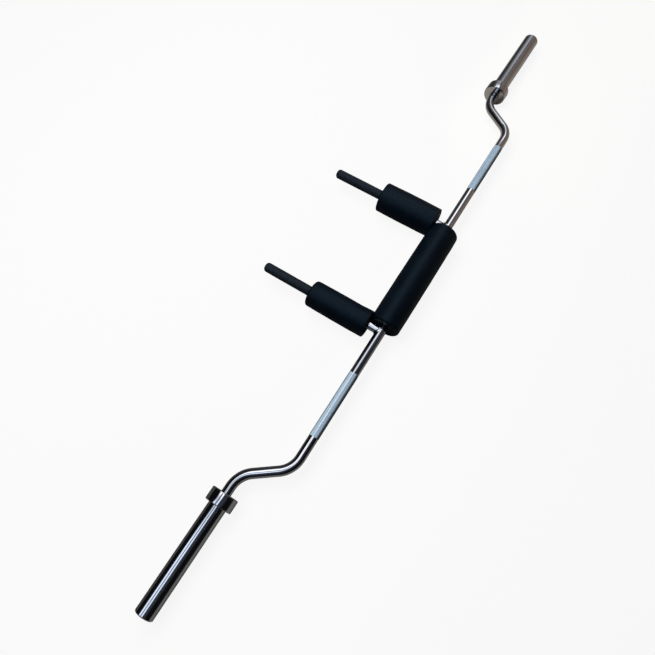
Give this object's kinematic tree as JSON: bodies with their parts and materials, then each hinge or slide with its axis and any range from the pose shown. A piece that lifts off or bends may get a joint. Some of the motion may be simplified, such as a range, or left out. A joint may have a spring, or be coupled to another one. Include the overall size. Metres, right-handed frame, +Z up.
{
  "type": "safety squat bar",
  "caption": "Bent chromed squat bar with turning plate sleeves and collars, knurled bands, a padded yoke with forward arms, and rubber hand grips.",
  "frame": {"origin": "on the floor, under the middle of the whole bar as it lies level on its pads and collars", "axes": "+X along the bar from the lifter's left end to the right end, +Y forward along the arms, +Z up"},
  "size_m": [2.23, 0.4429, 0.094],
  "materials": {
    "chrome": "polished hard chrome over steel",
    "foam": "closed-cell foam",
    "pad_vinyl": "matt navy-black vinyl with a fine grain",
    "grip_rubber": "matt moulded rubber",
    "bronze": "sintered bronze",
    "steel": "ground steel"
  },
  "bodies": {
    "bar": {"center_shaft": "chrome", "neck_pad_foam": "foam", "neck_pad_cover": "pad_vinyl", "left_arm": "chrome", "left_arm_weld": "chrome", "left_shoulder_pad_foam": "foam", "left_shoulder_pad_cover": "pad_vinyl", "left_grip": "grip_rubber", "left_inner_washer": "steel", "left_outer_washer": "steel", "left_retaining_ring": "steel", "right_arm": "chrome", "right_arm_weld": "chrome", "right_shoulder_pad_foam": "foam", "right_shoulder_pad_cover": "pad_vinyl", "right_grip": "grip_rubber", "right_inner_washer": "steel", "right_outer_washer": "steel", "right_retaining_ring": "steel"},
    "left_sleeve_assembly": {"left_sleeve": "chrome", "left_collar": "chrome", "left_inner_bushing": "bronze", "left_outer_bushing": "bronze", "left_end_cap": "chrome"},
    "right_sleeve_assembly": {"right_sleeve": "chrome", "right_collar": "chrome", "right_inner_bushing": "bronze", "right_outer_bushing": "bronze", "right_end_cap": "chrome"}
  },
  "joints": [
    {"name": "left_sleeve_spin", "type": "hinge", "parent": "bar", "child": "left_sleeve_assembly", "pos_m": [-0.792, -0.0625, 0.0375], "axis": [1, 0, 0], "continuous": true},
    {"name": "right_sleeve_spin", "type": "hinge", "parent": "bar", "child": "right_sleeve_assembly", "pos_m": [0.792, -0.0625, 0.0375], "axis": [1, 0, 0], "continuous": true}
  ]
}
